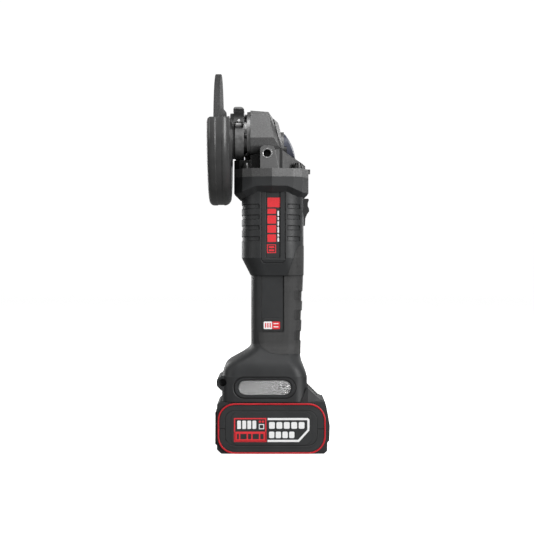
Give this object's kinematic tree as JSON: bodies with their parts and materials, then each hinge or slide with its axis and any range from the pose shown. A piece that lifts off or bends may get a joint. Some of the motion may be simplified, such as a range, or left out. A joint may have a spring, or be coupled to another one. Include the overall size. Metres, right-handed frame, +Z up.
{
  "type": "angle grinder",
  "caption": "Cordless angle grinder standing on its slide-on battery pack: turnable guard, depressed-centre wheel, bevel gear head, brushless motor, slide switch and dust filters.",
  "frame": {"origin": "point where the motor axis meets the resting plane under the battery pack", "axes": "+Z up along the motor axis, -X toward the grinding wheel, +X toward the switch side, -Y toward the operator's left"},
  "size_m": [0.1203, 0.1402, 0.3795],
  "materials": {
    "cast_housing": "fine-grained dark grey paint on cast aluminium",
    "screw_steel": "zinc-plated screws",
    "screw_black": "black oxide screws",
    "cover_aluminium": "bead-blasted cast aluminium",
    "plated_steel": "plated turned steel",
    "bearing_steel": "ground bearing steel",
    "seal_rubber": "felt and rubber seal",
    "black_nylon": "glass-filled nylon with a fine spark texture",
    "lamination_steel": "stacked laminations",
    "copper": "enamelled copper wire",
    "grip_rubber": "soft overmould with a fine square knurl",
    "dark_plastic": "moulded plastic",
    "board_green": "coated circuit board",
    "lead_red": "silicone insulated leads",
    "terminal_brass": "stamped contacts",
    "gear_steel": "hardened gear steel with grease",
    "abrasive": "resin-bonded abrasive grain",
    "guard_paint": "satin black paint on pressed steel",
    "band_steel": "grey coated spring steel",
    "lever_black": "black lever with a worn grey crown",
    "button_plastic": "bluish black smooth plastic",
    "slider_plastic": "ribbed thumb slide",
    "gauze_steel": "woven steel gauze",
    "pack_plastic": "textured pack plastic",
    "ring_red": "red moulded ring",
    "cell_wrap": "shrink-wrapped cells",
    "lens_clear": "clear lens",
    "latch_plastic": "ribbed release button"
  },
  "bodies": {
    "housing": {"gear_housing": "cast_housing", "gear_housing_screws": "screw_steel", "bearing_cover": "cover_aluminium", "bearing_cover_screws": "screw_black", "handle_thread_inserts": "plated_steel", "spindle_front_bearing": "bearing_steel", "spindle_rear_bearing": "bearing_steel", "spindle_dust_seal": "seal_rubber", "motor_housing": "black_nylon", "stator_core": "lamination_steel", "stator_windings": "copper", "motor_bearings": "bearing_steel", "motor_end_plate": "black_nylon", "left_handle_shell": "black_nylon", "right_handle_shell": "black_nylon", "left_grip_pad": "grip_rubber", "right_grip_pad": "grip_rubber", "handle_screws": "screw_black", "switch_module": "dark_plastic", "controller_board": "board_green", "internal_leads": "lead_red", "terminal_block": "dark_plastic", "tool_terminals": "terminal_brass", "lock_spring": "plated_steel"},
    "spindle": {"spindle": "plated_steel", "bevel_gear": "gear_steel", "gear_spacer": "plated_steel", "inner_flange": "plated_steel", "grinding_disc": "abrasive", "lock_nut": "plated_steel"},
    "rotor": {"rotor_shaft": "bearing_steel", "rotor_core": "lamination_steel", "cooling_fan": "dark_plastic", "bevel_pinion": "gear_steel"},
    "guard": {"guard_shell": "guard_paint", "guard_clamp_band": "band_steel", "guard_clamp_fasteners": "plated_steel"},
    "guard_lever": {"guard_lever": "lever_black", "lever_rivet": "plated_steel"},
    "spindle_lock": {"lock_button": "button_plastic", "lock_pin": "bearing_steel"},
    "switch": {"switch_slider": "slider_plastic", "switch_rod": "dark_plastic"},
    "left_filter": {"left_filter_frame": "black_nylon", "left_filter_mesh": "gauze_steel"},
    "right_filter": {"right_filter_frame": "black_nylon", "right_filter_mesh": "gauze_steel"},
    "battery_pack": {"pack_lower_case": "pack_plastic", "pack_upper_case": "pack_plastic", "pack_side_covers": "pack_plastic", "pack_rings": "ring_red", "battery_cells": "cell_wrap", "cell_holders": "dark_plastic", "pack_board": "board_green", "pack_contacts": "terminal_brass", "pack_screws": "screw_steel", "gauge_lens": "lens_clear", "latch_spring": "plated_steel"},
    "pack_latch": {"pack_latch": "latch_plastic"},
    "gauge_button": {"gauge_button": "button_plastic"}
  },
  "joints": [
    {"name": "spindle_spin", "type": "hinge", "parent": "housing", "child": "spindle", "pos_m": [0, 0, 0.317], "axis": [1, 0, 0], "continuous": true},
    {"name": "motor_spin", "type": "hinge", "parent": "housing", "child": "rotor", "pos_m": [0, 0, 0.25], "axis": [0, 0, 1], "continuous": true},
    {"name": "guard_turn", "type": "hinge", "parent": "housing", "child": "guard", "pos_m": [-0.035, 0, 0.317], "axis": [1, 0, 0], "range_deg": [-60, 60]},
    {"name": "lever_open", "type": "hinge", "parent": "guard", "child": "guard_lever", "pos_m": [-0.0336, -0.02644, 0.32559], "axis": [1, 0, 0], "range_deg": [0, 100]},
    {"name": "lock_press", "type": "slide", "parent": "housing", "child": "spindle_lock", "axis": [-1, 0, 0], "range_m": [0, 0.004], "stiffness_N_per_m": 700, "springref_m": -0.002, "deforming": ["lock_spring"]},
    {"name": "switch_slide", "type": "slide", "parent": "housing", "child": "switch", "axis": [0, 0, 1], "range_m": [0, 0.007]},
    {"name": "left_filter_pull", "type": "slide", "parent": "housing", "child": "left_filter", "axis": [0, -1, 0], "range_m": [0, 0.015]},
    {"name": "right_filter_pull", "type": "slide", "parent": "housing", "child": "right_filter", "axis": [0, 1, 0], "range_m": [0, 0.015]},
    {"name": "pack_slide", "type": "slide", "parent": "housing", "child": "battery_pack", "axis": [1, 0, 0], "range_m": [0, 0.095]},
    {"name": "latch_press", "type": "slide", "parent": "battery_pack", "child": "pack_latch", "axis": [0, 0, -1], "range_m": [0, 0.003], "stiffness_N_per_m": 600, "springref_m": -0.002, "deforming": ["latch_spring"]},
    {"name": "gauge_press", "type": "slide", "parent": "battery_pack", "child": "gauge_button", "axis": [1, 0, 0], "range_m": [0, 0.0008], "stiffness_N_per_m": 900, "springref_m": -0.0005}
  ],
  "couplings": [
    {"joint": "motor_spin", "follows": "spindle_spin", "ratio": -3.1667}
  ]
}
